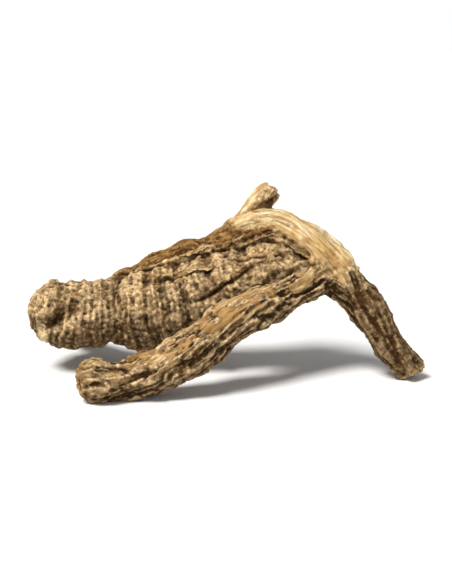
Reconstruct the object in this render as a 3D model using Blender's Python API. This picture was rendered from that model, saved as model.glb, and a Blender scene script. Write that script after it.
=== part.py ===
"""Osha root: one dried, ringed rhizome with the roots that grew from it, as one solid.

The rhizome's blunt end is at -X and its torn end at +X. The arched root runs along its back, passes
over the torn end and comes down to the ground at +X. The front root leaves the arch and runs back
beside the rhizome, towards -Y. A torn stub rises from the arch, and a short broken root leaves the far
side. The piece rests on three low points: the front root's knob and the tips of the arched and short
roots. A few stubs are left of thin rootlets.
"""

import math
from typing import NamedTuple

import bmesh
import bpy
import numpy as np
from mathutils import Matrix, Vector, noise

MM = 0.001

# Spines as (x, y, z, radius) in millimetres. +X runs along the rhizome and +Z is up.
RHIZOME_SPINE = (
    (-21.6, -1.6, 17.2, 8.2),
    (-16.5, -1.2, 16.6, 9.4),
    (-9.0, -0.2, 15.2, 9.9),
    (0.5, 0.6, 14.9, 9.2),
    (10.0, 0.4, 15.9, 10.5),
    (20.4, -0.2, 17.8, 10.6),
    (29.2, -0.8, 20.8, 9.9),
    (38.6, -0.6, 24.8, 9.0),
    (46.0, 0.0, 28.2, 7.9),
    (52.0, 0.4, 30.8, 6.6),
)
ARCHED_ROOT_SPINE = (
    (0.5, 5.4, 20.2, 2.0),
    (5.5, 5.2, 24.0, 3.2),
    (12.5, 4.4, 27.2, 3.9),
    (21.0, 4.4, 30.2, 4.2),
    (32.0, 3.4, 34.2, 4.6),
    (43.5, 1.4, 39.4, 5.2),
    (52.2, -0.6, 35.6, 5.4),
    (60.0, -2.8, 29.0, 5.2),
    (66.0, -5.2, 22.2, 4.8),
    (71.6, -7.6, 14.8, 4.5),
    (77.0, -9.8, 7.0, 4.2),
    (81.8, -11.7, 1.2, 3.6),
)
FRONT_ROOT_SPINE = (
    (59.5, -3.2, 27.6, 4.6),
    (53.5, -6.0, 24.4, 4.4),
    (46.0, -11.0, 21.6, 4.5),
    (38.0, -16.6, 19.6, 5.1),
    (29.7, -21.8, 15.4, 5.6),
    (21.2, -25.6, 10.0, 5.9),
    (13.2, -27.8, 6.2, 5.7),
    (5.2, -29.2, 4.6, 4.9),
    (-0.8, -30.0, 5.2, 5.4),
    (-5.5, -30.4, 6.2, 4.8),
)
TORN_STUB_SPINE = (
    (31.5, 4.0, 33.4, 3.6),
    (36.0, 5.6, 39.2, 3.4),
    (40.5, 7.4, 44.2, 3.0),
    (45.0, 9.0, 48.6, 3.1),
)
SHORT_ROOT_SPINE = (
    (-4.0, 2.0, 15.0, 5.6),
    (-7.0, 10.0, 13.4, 4.8),
    (-11.0, 17.2, 9.8, 4.0),
    (-12.2, 23.0, 5.2, 3.7),
    (-15.6, 27.6, 1.6, 3.3),
)
# Where the angle round each spine starts from.
TOWARDS_VIEWER = Vector((0, -1, 0))
TOWARDS_TORN_END = Vector((1, 0, 0))

SPAN_STEPS = 24

# The rings round the rhizome. Their pitch drifts in two slow waves of (rings, length for a radian,
# phase), their lines wander, and patches of them are stronger.
RING_PITCH = 1.75 * MM
RING_DRIFTS = ((0.5, 6.1 * MM, 0.0), (0.25, 3.7 * MM, 1.0))
RING_DEPTH = 0.2 * MM
RING_PATCHES = 0.6
RING_PATCH_SIZE = 5.0 * MM
RING_WOBBLE = 1.1 * MM
RING_WOBBLE_SIZE = 7.0 * MM
RINGED_FROM = 0.5 * MM
RINGS_FADE_IN = (0.0, 2.0 * MM)
RINGS_FADE_OUT = (60.0 * MM, 74.0 * MM)

# Broad folds between the rings and the swellings, which wander more than the rings do.
FOLD_PITCH = 4.6 * MM
FOLD_DEPTH = 0.36 * MM
FOLD_WOBBLE = 2.4 * MM
FOLD_WOBBLE_SIZE = 8.0 * MM

# Where the rhizome is drawn in between two swellings, as (distance, depth, half width).
WAISTS = (
    (8.5 * MM, 0.7 * MM, 1.6 * MM),
    (24.0 * MM, 1.2 * MM, 2.0 * MM),
    (33.5 * MM, 0.6 * MM, 1.4 * MM),
    (43.0 * MM, 0.9 * MM, 1.7 * MM),
    (53.0 * MM, 0.7 * MM, 1.5 * MM),
    (63.0 * MM, 1.0 * MM, 1.8 * MM),
)
WAIST_WOBBLE = 2.5 * MM
WAIST_WOBBLE_SIZE = 12.0 * MM

# Dents and swells far wider than a ring, as (height, size).
RHIZOME_LUMPS = (1.5 * MM, 11.0 * MM)
ROOT_LUMPS = (1.1 * MM, 6.0 * MM)
# The rhizome is a little oval, and its oval turns slowly along it.
OVAL = 0.04
OVAL_TURN = 15.0 * MM
# A root swells and shrinks slightly, more on one side.
KNOT_HEIGHT = 0.4 * MM
KNOT_TURN = 3.4 * MM

# Creases as (start, end, width, depth). A start or end is (distance along the spine, degrees up from
# the viewer's side).
CREASES = (
    ((2.5 * MM, -34.0), (13.5 * MM, 38.0), 1.7 * MM, 3.0 * MM),
    ((1.5 * MM, 150.0), (9.0 * MM, 100.0), 1.6 * MM, 1.8 * MM),
    ((33.0 * MM, 70.0), (55.0 * MM, 54.0), 1.2 * MM, 1.8 * MM),
    ((46.0 * MM, 8.0), (66.0 * MM, 34.0), 1.3 * MM, 1.3 * MM),
    ((52.0 * MM, -34.0), (70.0 * MM, -12.0), 1.3 * MM, 1.3 * MM),
    ((12.0 * MM, 150.0), (38.0 * MM, 168.0), 1.5 * MM, 1.5 * MM),
    ((40.0 * MM, 205.0), (64.0 * MM, 180.0), 1.4 * MM, 1.3 * MM),
)

# A crease starts at this share of a half wave, and is as shallow where it ends.
CREASE_START = 0.08

# Scars left by lost rootlets, as (distance, degrees up from the viewer's side, radius, height).
SCARS = (
    (13.0 * MM, -12.0, 2.5 * MM, 0.9 * MM),
    (29.0 * MM, 8.0, 2.4 * MM, 0.9 * MM),
    (39.0 * MM, -22.0, 2.9 * MM, 1.1 * MM),
    (56.0 * MM, 14.0, 2.5 * MM, 0.9 * MM),
    (17.0 * MM, 138.0, 2.8 * MM, 1.1 * MM),
    (33.0 * MM, 196.0, 2.9 * MM, 1.2 * MM),
    (50.0 * MM, 158.0, 2.6 * MM, 1.0 * MM),
    (46.0 * MM, 246.0, 2.6 * MM, 1.0 * MM),
)

# Stubs of lost rootlets, as (distance, degrees up from the viewer's side, length).
ROOTLETS = (
    (36.5 * MM, -78.0, 2.6 * MM),
    (47.5 * MM, -58.0, 3.8 * MM),
    (62.0 * MM, -64.0, 2.4 * MM),
    (28.0 * MM, 176.0, 3.2 * MM),
    (55.0 * MM, 214.0, 3.6 * MM),
)
ROOTLET_RADIUS = 1.1 * MM
ROOTLET_SUNK = 2.5 * MM
ROOTLET_BEND = 1.3 * MM
# The share of that radius at a rootlet's foot, middle and tip.
ROOTLET_TAPER = (1.7, 1.15, 0.7)

# Lengthwise wrinkles as (height, how many go round), which fade where a limb is thinner than this.
RHIZOME_WRINKLES = (0.5 * MM, 7)
ROOT_WRINKLES = ((0.5 * MM, 4), (0.3 * MM, 7))
WRINKLED_RADIUS = 4.0 * MM
# A wrinkle winds round its limb by a radian over this length, and it wanders by the lumps' size.
WRINKLE_TURN = 13.0 * MM
WRINKLE_WOBBLE_SIZE = 15.0 * MM

# How far from another limb the surfaces start to swell towards each other.
BLEND = 4.5 * MM

# How finely each limb is divided.
RHIZOME_AROUND = 34
THICK_ROOT_AROUND = 18
SHORT_ROOT_AROUND = 14
ROOTLET_AROUND = 6
ROOT_ROW = 2.0 * MM
ROW_GAP = 0.4 * MM
SEARCH_STEPS = 2000
FRAME_REACH = 1.0 * MM


class End(NamedTuple):
    """How a limb closes. A lower bluntness is a squarer shoulder."""

    length: float
    bluntness: float
    dish: float
    ruggedness: float


BLUNT_END = End(7.0 * MM, 0.86, 0.6 * MM, 1.6 * MM)
TORN_END = End(4.0 * MM, 0.8, 0.6 * MM, 2.4 * MM)
KNOB_END = End(3.6 * MM, 0.9, 0.3 * MM, 1.6 * MM)
BURIED_END = End(3.0 * MM, 1.0, 0.0, 0.0)
BROKEN_TIP = End(1.8 * MM, 0.6, 0.8 * MM, 2.4 * MM)
ROOTLET_TIP = End(0.4 * MM, 0.8, 0.0, 0.0)
END_LUMP_SIZE = 3.6 * MM

GROUND_CUTTER = (0.3, 0.3, 0.05)
SHARP_ANGLE = math.radians(60)


class Spine:
    """A smooth curve through points with a radius, read by the distance along it, in metres."""

    def __init__(self, points, reference):
        ends = [points[0], *points, points[-1]]
        path = []
        for before, start, end, after in zip(ends, ends[1:], ends[2:], ends[3:]):
            p0, p1, p2, p3 = (np.array(p) * MM for p in (before, start, end, after))
            for step in range(SPAN_STEPS):
                t = step / SPAN_STEPS
                bend = 2 * p0 - 5 * p1 + 4 * p2 - p3
                twist = 3 * p1 - p0 - 3 * p2 + p3
                path.append(0.5 * (2 * p1 + (p2 - p0) * t + bend * t**2 + twist * t**3))
        path.append(np.array(points[-1]) * MM)
        self.path = np.array(path)
        steps = np.linalg.norm(np.diff(self.path[:, :3], axis=0), axis=1)
        self.distances = np.concatenate([[0], np.cumsum(steps)])
        self.length = float(self.distances[-1])
        self.reference = reference

    def read(self, s):
        """The centre and the radius at a distance along the curve."""
        x, y, z, radius = (float(np.interp(s, self.distances, column)) for column in self.path.T)
        return Vector((x, y, z)), radius

    def frame(self, s):
        """The way along, the way that the angle 0 points, and the way that 90 degrees points."""
        ahead, _ = self.read(min(s + FRAME_REACH, self.length))
        behind, _ = self.read(max(s - FRAME_REACH, 0))
        along = (ahead - behind).normalized()
        side = (self.reference - along * self.reference.dot(along)).normalized()
        return along, side, side.cross(along)

    def gap_to(self, point):
        """How far a point is from the plain round surface. It is negative inside."""
        apart = np.linalg.norm(self.path[:, :3] - np.array(point), axis=1)
        return float((apart - self.path[:, 3]).min())


def ramp(value, low, high):
    """0 below low, 1 above high, and a smooth step between."""
    t = min(max((value - low) / (high - low), 0), 1)
    return t * t * (3 - 2 * t)


def lumps(place, size, draw):
    """Smooth noise from -1 to 1 in space, with lumps of a size. Each draw is another pattern."""
    return noise.noise(place / size + Vector((draw, 0, 0)))


def turned_from(angle, degrees):
    """The angle from a direction in degrees, between -pi and pi."""
    return (angle - math.radians(degrees) + math.pi) % math.tau - math.pi


def crease_depth(s, angle, radius):
    """How far the creases sink the surface at this place."""
    sunk = 0
    for (s0, degrees0), (s1, degrees1), width, depth in CREASES:
        start = np.array((s0, 0))
        run = np.array((s1 - s0, radius * math.radians(degrees1 - degrees0)))
        here = np.array((s, radius * turned_from(angle, degrees0))) - start
        share = min(max(here @ run / (run @ run), 0), 1)
        off = np.linalg.norm(here - share * run)
        tapered = math.sin(math.pi * (CREASE_START + (1 - 2 * CREASE_START) * share))
        sunk += depth * tapered * math.exp(-((off / width) ** 2))
    return sunk


def scar_height(s, angle, radius):
    """How far the scars of lost rootlets raise the surface at this place."""
    raised = 0
    for place, degrees, size, height in SCARS:
        off = math.hypot(s - place, radius * turned_from(angle, degrees))
        raised += height * math.exp(-((off / size) ** 2))
    return raised


def rings_before(s):
    """How many rings lie before this distance."""
    drift = sum(rings * math.sin(s / turn + phase) for rings, turn, phase in RING_DRIFTS)
    return s / RING_PITCH + drift


def rhizome_relief(s, angle, radius, place):
    """How far the rhizome's surface stands out from its plain round shape."""
    fade = ramp(s, *RINGS_FADE_IN) * (1 - ramp(s, *RINGS_FADE_OUT))
    strength = fade * (1 + RING_PATCHES * lumps(place, RING_PATCH_SIZE, 3))
    rings = RING_DEPTH * strength * math.cos(math.tau * rings_before(s))
    wander = FOLD_WOBBLE * lumps(place, FOLD_WOBBLE_SIZE, 9)
    folds = FOLD_DEPTH * fade * math.cos(math.tau * (s - wander) / FOLD_PITCH)
    waists = 0
    for at, depth, half_width in WAISTS:
        off = s - at - WAIST_WOBBLE * lumps(place, WAIST_WOBBLE_SIZE, 8)
        waists += depth * math.exp(-((off / half_width) ** 2))
    height, count = RHIZOME_WRINKLES
    height *= ramp(s, *RINGS_FADE_OUT) * min(radius / WRINKLED_RADIUS, 1)
    wrinkles = height * math.cos(count * (angle + s / (count * WRINKLE_TURN)))
    oval = OVAL * radius * math.cos(2 * angle + s / OVAL_TURN)
    swell, size = RHIZOME_LUMPS
    lumpy = swell * lumps(place, size, 14) + scar_height(s, angle, radius)
    return rings + folds + wrinkles + oval + lumpy - waists - crease_depth(s, angle, radius)


def root_relief(s, angle, radius, place):
    """Lengthwise wrinkles and lumps of a thin root."""
    twist = s / WRINKLE_TURN + lumps(place, WRINKLE_WOBBLE_SIZE, 50)
    (broad, few), (narrow, many) = ROOT_WRINKLES
    wrinkles = broad * math.cos(few * (angle + twist)) + narrow * math.cos(many * angle - 3 * twist)
    swell, size = ROOT_LUMPS
    knots = swell * lumps(place, size, 31) + KNOT_HEIGHT * math.sin(s / KNOT_TURN + angle)
    return min(radius / WRINKLED_RADIUS, 1) * wrinkles + knots


def smooth(s, angle, radius, place):
    """No relief at all, for a rootlet."""
    return 0.0


def blend_swell(point, neighbours):
    """How far a surface swells near its neighbours, so that limbs meet in a soft fillet."""
    swell = 0
    for spine in neighbours:
        gap = abs(spine.gap_to(point))
        swell += max(BLEND - gap, 0) ** 2 / (4 * BLEND)
    return swell


def cap_share(inward, end):
    """The share of the radius that a cap has at a distance in from its tip."""
    level = max(1 - inward / end.length, 0)
    return (1 - level ** (2 / end.bluntness)) ** (end.bluntness / 2)


def cap_rows(end, around, reach):
    """Distances in from a cap's tip, evenly round its shoulder, as far as a reach."""
    count = max(around // 4, 2)
    turns = (math.pi / 2 * step / count for step in range(1, count + 1))
    rows = (end.length * (1 - math.cos(turn) ** end.bluntness) for turn in turns)
    return [inward for inward in rows if inward <= reach]


def ring_rows(start, end):
    """Distances of each ring's crest and valley between two places."""
    fine = np.linspace(start, end, SEARCH_STEPS)
    halves = 2 * np.array([rings_before(s) for s in fine])
    wanted = np.arange(math.ceil(halves[0]), math.floor(halves[-1]) + 1)
    return [float(s) for s in np.interp(wanted, halves, fine)]


def even_rows(start, end):
    """Distances spread evenly between two places."""
    count = max(round((end - start) / ROOT_ROW), 1)
    return [start + (end - start) * step / count for step in range(count + 1)]


def limb(name, spine, around, ends, relief, neighbours=(), ringed=False):
    """A closed tube along a spine, with its relief, between two caps."""
    near_end, far_end = ends
    length = spine.length
    near_reach = RINGED_FROM if ringed else near_end.length
    start, stop = near_reach + ROW_GAP, length - far_end.length - ROW_GAP
    rows = cap_rows(near_end, around, near_reach)
    rows += ring_rows(start, stop) if ringed else even_rows(start, stop)
    rows += [length - inward for inward in reversed(cap_rows(far_end, around, far_end.length))]
    mesh = bmesh.new()

    def vertex(s, angle):
        """A point of the surface, moved from its plain place the way that the surface faces."""
        near, far = cap_share(s, near_end), cap_share(length - s, far_end)
        share, way, end = (near, -1, near_end) if near < far else (far, 1, far_end)
        centre, plain = spine.read(s)
        along, side, up = spine.frame(s)
        outward = math.cos(angle) * side + math.sin(angle) * up
        facing = share * outward + way * math.sqrt(1 - share**2) * along
        place = centre + share * plain * outward
        if ringed:
            place += RING_WOBBLE * share * lumps(place, RING_WOBBLE_SIZE, 21) * along
        raised = relief(s, angle, share * plain, place) + blend_swell(place, neighbours)
        raised += end.ruggedness * (1 - share**3) * lumps(place, END_LUMP_SIZE, 0)
        return mesh.verts.new(place + (raised - end.dish * (1 - share) ** 2) * facing)

    loops = []
    for s in rows:
        loops.append([vertex(s, math.tau * step / around) for step in range(around)])
    for loop, following in zip(loops, loops[1:]):
        for step in range(around):
            after = (step + 1) % around
            mesh.faces.new((loop[step], loop[after], following[after], following[step]))
    for loop, pole in ((loops[0], vertex(0, 0)), (loops[-1], vertex(length, 0))):
        for step in range(around):
            mesh.faces.new((loop[step], loop[(step + 1) % around], pole))
    # Flat triangles meet another limb in straight cuts, which bent four-sided faces would not.
    bmesh.ops.triangulate(mesh, faces=mesh.faces)
    bmesh.ops.recalc_face_normals(mesh, faces=mesh.faces)
    data = bpy.data.meshes.new(name)
    mesh.to_mesh(data)
    mesh.free()
    made = bpy.data.objects.new(name, data)
    bpy.context.scene.collection.objects.link(made)
    return made


def rootlet(rhizome, s, degrees, length):
    """The stub of a lost rootlet, which leans towards the rhizome's torn end."""
    centre, radius = rhizome.read(s)
    along, side, up = rhizome.frame(s)
    outward = math.cos(math.radians(degrees)) * side + math.sin(math.radians(degrees)) * up
    radius += rhizome_relief(s, math.radians(degrees), radius, centre + radius * outward)
    points = []
    for step, taper in zip((0.0, 0.5, 1.0), ROOTLET_TAPER):
        out = radius - ROOTLET_SUNK + step * (ROOTLET_SUNK + length)
        place = centre + out * outward + ROOTLET_BEND * step**2 * along
        points.append((*(place / MM), taper * ROOTLET_RADIUS / MM))
    spine = Spine(points, along)
    return limb("rootlet", spine, ROOTLET_AROUND, (ROOTLET_TIP, ROOTLET_TIP), smooth)


def combine(target, other, operation):
    """Applies a Boolean of another object to the target, and removes that object."""
    modifier = target.modifiers.new(operation, "BOOLEAN")
    modifier.operation = operation
    modifier.object = other
    bpy.context.view_layer.objects.active = target
    bpy.ops.object.modifier_apply(modifier=modifier.name)
    bpy.data.objects.remove(other)


def keep_largest_piece(made):
    """Drops the tiny sealed pockets that a union can leave where two limbs graze each other."""
    mesh = bmesh.new()
    mesh.from_mesh(made.data)
    waiting = set(mesh.faces)
    pieces = []
    while waiting:
        piece = [waiting.pop()]
        for face in piece:
            joined = {other for edge in face.edges for other in edge.link_faces} & waiting
            waiting -= joined
            piece.extend(joined)
        pieces.append(piece)
    pieces.sort(key=len)
    for scrap in pieces[:-1]:
        bmesh.ops.delete(mesh, geom=scrap, context="FACES")
    mesh.to_mesh(made.data)
    mesh.free()


def ground_cutter():
    """A block whose top is the ground, which flattens what the root rests on."""
    bpy.ops.mesh.primitive_cube_add(size=1, location=(0, 0, -GROUND_CUTTER[2] / 2))
    block = bpy.context.object
    block.scale = GROUND_CUTTER
    bpy.ops.object.transform_apply(location=True, scale=True)
    return block


def centre_over_origin(made):
    """Puts the middle of the part's box over the origin, and the ground at its base."""
    places = np.array([vertex.co for vertex in made.data.vertices])
    middle = (places.min(axis=0) + places.max(axis=0)) / 2
    made.data.transform(Matrix.Translation((-middle[0], -middle[1], 0)))


def bark():
    """Dry grey-brown bark, with no gloss."""
    material = bpy.data.materials.new("dry_bark")
    material.use_nodes = True
    shader = material.node_tree.nodes["Principled BSDF"]
    shader.inputs["Base Color"].default_value = (0.28, 0.175, 0.085, 1)
    shader.inputs["Roughness"].default_value = 0.85
    shader.inputs["Metallic"].default_value = 0.0
    return material


def main():
    for leftover in list(bpy.data.objects):
        bpy.data.objects.remove(leftover)
    rhizome = Spine(RHIZOME_SPINE, TOWARDS_VIEWER)
    arched = Spine(ARCHED_ROOT_SPINE, TOWARDS_VIEWER)
    front = Spine(FRONT_ROOT_SPINE, TOWARDS_VIEWER)
    stub = Spine(TORN_STUB_SPINE, TOWARDS_TORN_END)
    short = Spine(SHORT_ROOT_SPINE, TOWARDS_TORN_END)
    root = limb(
        "osha_root",
        rhizome,
        RHIZOME_AROUND,
        (BLUNT_END, TORN_END),
        rhizome_relief,
        (arched, front, short),
        ringed=True,
    )
    roots = (
        ("arched_root", arched, THICK_ROOT_AROUND, (BURIED_END, BROKEN_TIP), (rhizome, front, stub)),
        ("front_root", front, THICK_ROOT_AROUND, (BURIED_END, KNOB_END), (rhizome, arched)),
        ("torn_stub", stub, SHORT_ROOT_AROUND, (BURIED_END, BROKEN_TIP), (arched,)),
        ("short_root", short, SHORT_ROOT_AROUND, (BURIED_END, BROKEN_TIP), (rhizome,)),
    )
    for name, spine, around, ends, neighbours in roots:
        combine(root, limb(name, spine, around, ends, root_relief, neighbours), "UNION")
    for place in ROOTLETS:
        combine(root, rootlet(rhizome, *place), "UNION")
    combine(root, ground_cutter(), "DIFFERENCE")
    keep_largest_piece(root)
    centre_over_origin(root)
    root.data.materials.clear()
    root.data.materials.append(bark())
    root.data.shade_smooth()
    root.data.set_sharp_from_angle(angle=SHARP_ANGLE)


main()
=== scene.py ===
# %% [markdown]
# # A dried osha root
# Osha is sold as whole dried pieces: a thick rhizome, ringed where leaves once grew, with a few long roots
# and many stubs. The solid that this lesson opens has the true size and the main forms. The lesson gives it
# what the eye reads as dried bark: sharp beaded rings, wrinkles that run along the roots, places where the
# bark has come off, and colours that follow all of these.

import math
from typing import NamedTuple

import bpy
import numpy as np
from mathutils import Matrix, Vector, noise


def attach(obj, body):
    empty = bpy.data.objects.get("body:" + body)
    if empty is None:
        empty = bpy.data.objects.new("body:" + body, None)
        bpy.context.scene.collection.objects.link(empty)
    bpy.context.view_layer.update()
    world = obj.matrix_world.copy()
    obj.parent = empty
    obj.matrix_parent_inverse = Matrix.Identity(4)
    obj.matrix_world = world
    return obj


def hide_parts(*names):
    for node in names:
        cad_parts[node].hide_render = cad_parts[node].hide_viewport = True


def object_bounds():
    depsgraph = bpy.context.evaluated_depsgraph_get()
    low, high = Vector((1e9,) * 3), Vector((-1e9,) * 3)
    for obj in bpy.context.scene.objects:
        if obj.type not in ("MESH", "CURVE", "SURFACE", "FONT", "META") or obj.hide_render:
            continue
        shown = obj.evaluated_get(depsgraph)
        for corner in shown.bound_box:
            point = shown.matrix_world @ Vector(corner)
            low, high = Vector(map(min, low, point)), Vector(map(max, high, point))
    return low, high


MM = 0.001
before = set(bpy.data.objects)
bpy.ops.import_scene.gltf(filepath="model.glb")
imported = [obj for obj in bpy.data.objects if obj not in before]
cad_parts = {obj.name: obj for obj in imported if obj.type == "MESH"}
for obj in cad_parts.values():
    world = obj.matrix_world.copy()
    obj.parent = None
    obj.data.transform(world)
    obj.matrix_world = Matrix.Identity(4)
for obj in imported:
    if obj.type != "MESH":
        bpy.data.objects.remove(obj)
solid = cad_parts["osha_root"]
solid_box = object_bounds()
print("the solid is", [round((high - low) / MM, 1) for low, high in zip(*solid_box)], "mm")

# %% [markdown]
# Each limb of the root follows a spine: points with a radius, joined by a smooth curve. The pattern of the
# bark is laid out along those curves, so the lesson repeats the points that the solid was drawn from. They
# were drawn about the rhizome, and the finished solid was then moved to stand in the middle of its own box.
# The same move brings a point of the skin back to the drawing.

# %% The points of the spines
DRAWN_AT = np.array((31.659, -3.536, 0.0)) * MM

# Points as (x, y, z, radius) in millimetres.
RHIZOME = (
    (-21.6, -1.6, 17.2, 8.2),
    (-16.5, -1.2, 16.6, 9.4),
    (-9.0, -0.2, 15.2, 9.9),
    (0.5, 0.6, 14.9, 9.2),
    (10.0, 0.4, 15.9, 10.5),
    (20.4, -0.2, 17.8, 10.6),
    (29.2, -0.8, 20.8, 9.9),
    (38.6, -0.6, 24.8, 9.0),
    (46.0, 0.0, 28.2, 7.9),
    (52.0, 0.4, 30.8, 6.6),
)
ARCHED_ROOT = (
    (0.5, 5.4, 20.2, 2.0),
    (5.5, 5.2, 24.0, 3.2),
    (12.5, 4.4, 27.2, 3.9),
    (21.0, 4.4, 30.2, 4.2),
    (32.0, 3.4, 34.2, 4.6),
    (43.5, 1.4, 39.4, 5.2),
    (52.2, -0.6, 35.6, 5.4),
    (60.0, -2.8, 29.0, 5.2),
    (66.0, -5.2, 22.2, 4.8),
    (71.6, -7.6, 14.8, 4.5),
    (77.0, -9.8, 7.0, 4.2),
    (81.8, -11.7, 1.2, 3.6),
)
FRONT_ROOT = (
    (59.5, -3.2, 27.6, 4.6),
    (53.5, -6.0, 24.4, 4.4),
    (46.0, -11.0, 21.6, 4.5),
    (38.0, -16.6, 19.6, 5.1),
    (29.7, -21.8, 15.4, 5.6),
    (21.2, -25.6, 10.0, 5.9),
    (13.2, -27.8, 6.2, 5.7),
    (5.2, -29.2, 4.6, 4.9),
    (-0.8, -30.0, 5.2, 5.4),
    (-5.5, -30.4, 6.2, 4.8),
)
TORN_STUB = (
    (31.5, 4.0, 33.4, 3.6),
    (36.0, 5.6, 39.2, 3.4),
    (40.5, 7.4, 44.2, 3.0),
    (45.0, 9.0, 48.6, 3.1),
)
SHORT_ROOT = (
    (-4.0, 2.0, 15.0, 5.6),
    (-7.0, 10.0, 13.4, 4.8),
    (-11.0, 17.2, 9.8, 4.0),
    (-12.2, 23.0, 5.2, 3.7),
    (-15.6, 27.6, 1.6, 3.3),
)
print("the rhizome is drawn through", len(RHIZOME), "points")

# %% [markdown]
# The curve passes through every point and bends smoothly. It carries a direction along it, one to the side
# and one up, so a place near a limb can be told by its distance along, its angle round and its distance
# out. The lesson goes both ways: from a place to those numbers, and from the numbers back to a place.

# %% The spines of the limbs
TOWARDS_VIEWER = (0, -1, 0)
TOWARDS_TORN_END = (1, 0, 0)
SPAN_STEPS = 24
PLACES_AT_ONCE = 4000


class Spine:
    """A smooth curve through points with a radius. It says where a place lies on its limb."""

    def __init__(self, points, reference):
        ends = [points[0], *points, points[-1]]
        path = []
        for before, start, end, after in zip(ends, ends[1:], ends[2:], ends[3:]):
            p0, p1, p2, p3 = (np.array(p) * MM for p in (before, start, end, after))
            for step in range(SPAN_STEPS):
                t = step / SPAN_STEPS
                bend = 2 * p0 - 5 * p1 + 4 * p2 - p3
                twist = 3 * p1 - p0 - 3 * p2 + p3
                path.append(0.5 * (2 * p1 + (p2 - p0) * t + bend * t**2 + twist * t**3))
        path.append(np.array(points[-1]) * MM)
        path = np.array(path)
        self.centres, self.radii = path[:, :3] - DRAWN_AT, path[:, 3]
        steps = np.linalg.norm(np.diff(self.centres, axis=0), axis=1)
        self.distances = np.concatenate([[0], np.cumsum(steps)])
        self.length = self.distances[-1]
        along = np.gradient(self.centres, self.distances, axis=0)
        self.along = along / np.linalg.norm(along, axis=1)[:, None]
        side = np.array(reference) - self.along * (self.along @ np.array(reference))[:, None]
        self.side = side / np.linalg.norm(side, axis=1)[:, None]
        self.up = np.cross(self.side, self.along)
        # Angles count upwards on every limb, whichever way it runs.
        self.up *= np.sign(self.up[:, 2].mean())

    def locate(self, places):
        """For each place: how far along, the angle round, how far out, and the gap to the round surface."""
        nearest = np.empty(len(places), int)
        for start in range(0, len(places), PLACES_AT_ONCE):
            block = slice(start, start + PLACES_AT_ONCE)
            apart = ((places[block, None] - self.centres[None]) ** 2).sum(axis=2)
            nearest[block] = apart.argmin(axis=1)
        off = places - self.centres[nearest]
        ahead = (off * self.along[nearest]).sum(axis=1)
        s = np.clip(self.distances[nearest] + ahead, 0, self.length)
        angle = np.arctan2((off * self.up[nearest]).sum(axis=1), (off * self.side[nearest]).sum(axis=1))
        out = np.linalg.norm(off - ahead[:, None] * self.along[nearest], axis=1)
        return s, angle, out, np.linalg.norm(off, axis=1) - self.radii[nearest]

    def point(self, s, degrees):
        """A point on the plain round surface of the limb."""

        def read(columns):
            return np.array([np.interp(s, self.distances, column) for column in columns.T])

        turn = math.radians(degrees)
        facing = math.cos(turn) * read(self.side) + math.sin(turn) * read(self.up)
        return Vector(read(self.centres) + np.interp(s, self.distances, self.radii) * facing)


LIMBS = {
    "rhizome": Spine(RHIZOME, TOWARDS_VIEWER),
    "arched": Spine(ARCHED_ROOT, TOWARDS_VIEWER),
    "front": Spine(FRONT_ROOT, TOWARDS_VIEWER),
    "stub": Spine(TORN_STUB, TOWARDS_TORN_END),
    "short": Spine(SHORT_ROOT, TOWARDS_TORN_END),
}
for name, spine in LIMBS.items():
    print(name, "is", round(spine.length / MM, 1), "mm long")

# %% [markdown]
# The skin starts as a copy of the solid. The solid's faces are loose and long, so the copy is merged first,
# and a voxel remesh then gives it small faces of one size, which can carry fine relief anywhere. A remesh
# keeps the corners of the solid's facets, so a smooth modifier melts them. That softens the rings too, and
# they are raised again below, with more points than the solid could spend on them.

# %% Copy the solid and give it an even, fine net
VOXEL = 0.405 * MM
MELT_STEPS = 6


def select_only(*pieces):
    """Selects these pieces and nothing else, and makes the first one active."""
    bpy.ops.object.select_all(action="DESELECT")
    for piece in pieces:
        piece.select_set(True)
    bpy.context.view_layer.objects.active = pieces[0]


def apply_modifier(piece, kind, **settings):
    """Adds a modifier with these settings to a piece, and applies it."""
    select_only(piece)
    modifier = piece.modifiers.new(kind.title(), kind)
    for setting, value in settings.items():
        setattr(modifier, setting, value)
    bpy.ops.object.modifier_apply(modifier=modifier.name)


def merge_doubles(piece, distance):
    """Joins a piece's points that lie within a distance of each other."""
    select_only(piece)
    bpy.ops.object.mode_set(mode="EDIT")
    bpy.ops.mesh.select_all(action="SELECT")
    bpy.ops.mesh.remove_doubles(threshold=distance)
    bpy.ops.object.mode_set(mode="OBJECT")


skin = bpy.data.objects.new("root_skin", solid.data.copy())
bpy.context.scene.collection.objects.link(skin)
merge_doubles(skin, 0.001 * MM)
apply_modifier(skin, "REMESH", mode="VOXEL", voxel_size=VOXEL)
apply_modifier(skin, "SMOOTH", factor=1.0, iterations=MELT_STEPS)
print("the skin has", len(skin.data.vertices), "points and", len(skin.data.polygons), "faces")

# %% [markdown]
# Every point of the skin is now located on its limb: how far along it lies, and at which angle round. Where
# two limbs meet, a point belongs a little to both, so that one pattern fades into the other. Unrolled like
# this, bark is easy to describe: rings cross the length, and wrinkles and fibres follow it.

# %% Locate each point of the skin on its limb
MEET = 0.7 * MM


def read_points(piece, normals=False):
    """The places of a piece's points, or the ways that they face."""
    values = np.empty(len(piece.data.vertices) * 3, np.float32)
    if normals:
        piece.data.vertex_normals.foreach_get("vector", values)
    else:
        piece.data.vertices.foreach_get("co", values)
    return values.reshape(-1, 3).astype(float)


places = read_points(skin)
located = {name: spine.locate(places) for name, spine in LIMBS.items()}
gaps = np.array([located[name][3] for name in LIMBS])
shares = np.exp(-(gaps - gaps.min(axis=0)) / MEET)
shares /= shares.sum(axis=0)
owner = gaps.argmin(axis=0)
for index, name in enumerate(LIMBS):
    print(name, "owns", int((owner == index).sum()), "points")

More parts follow.
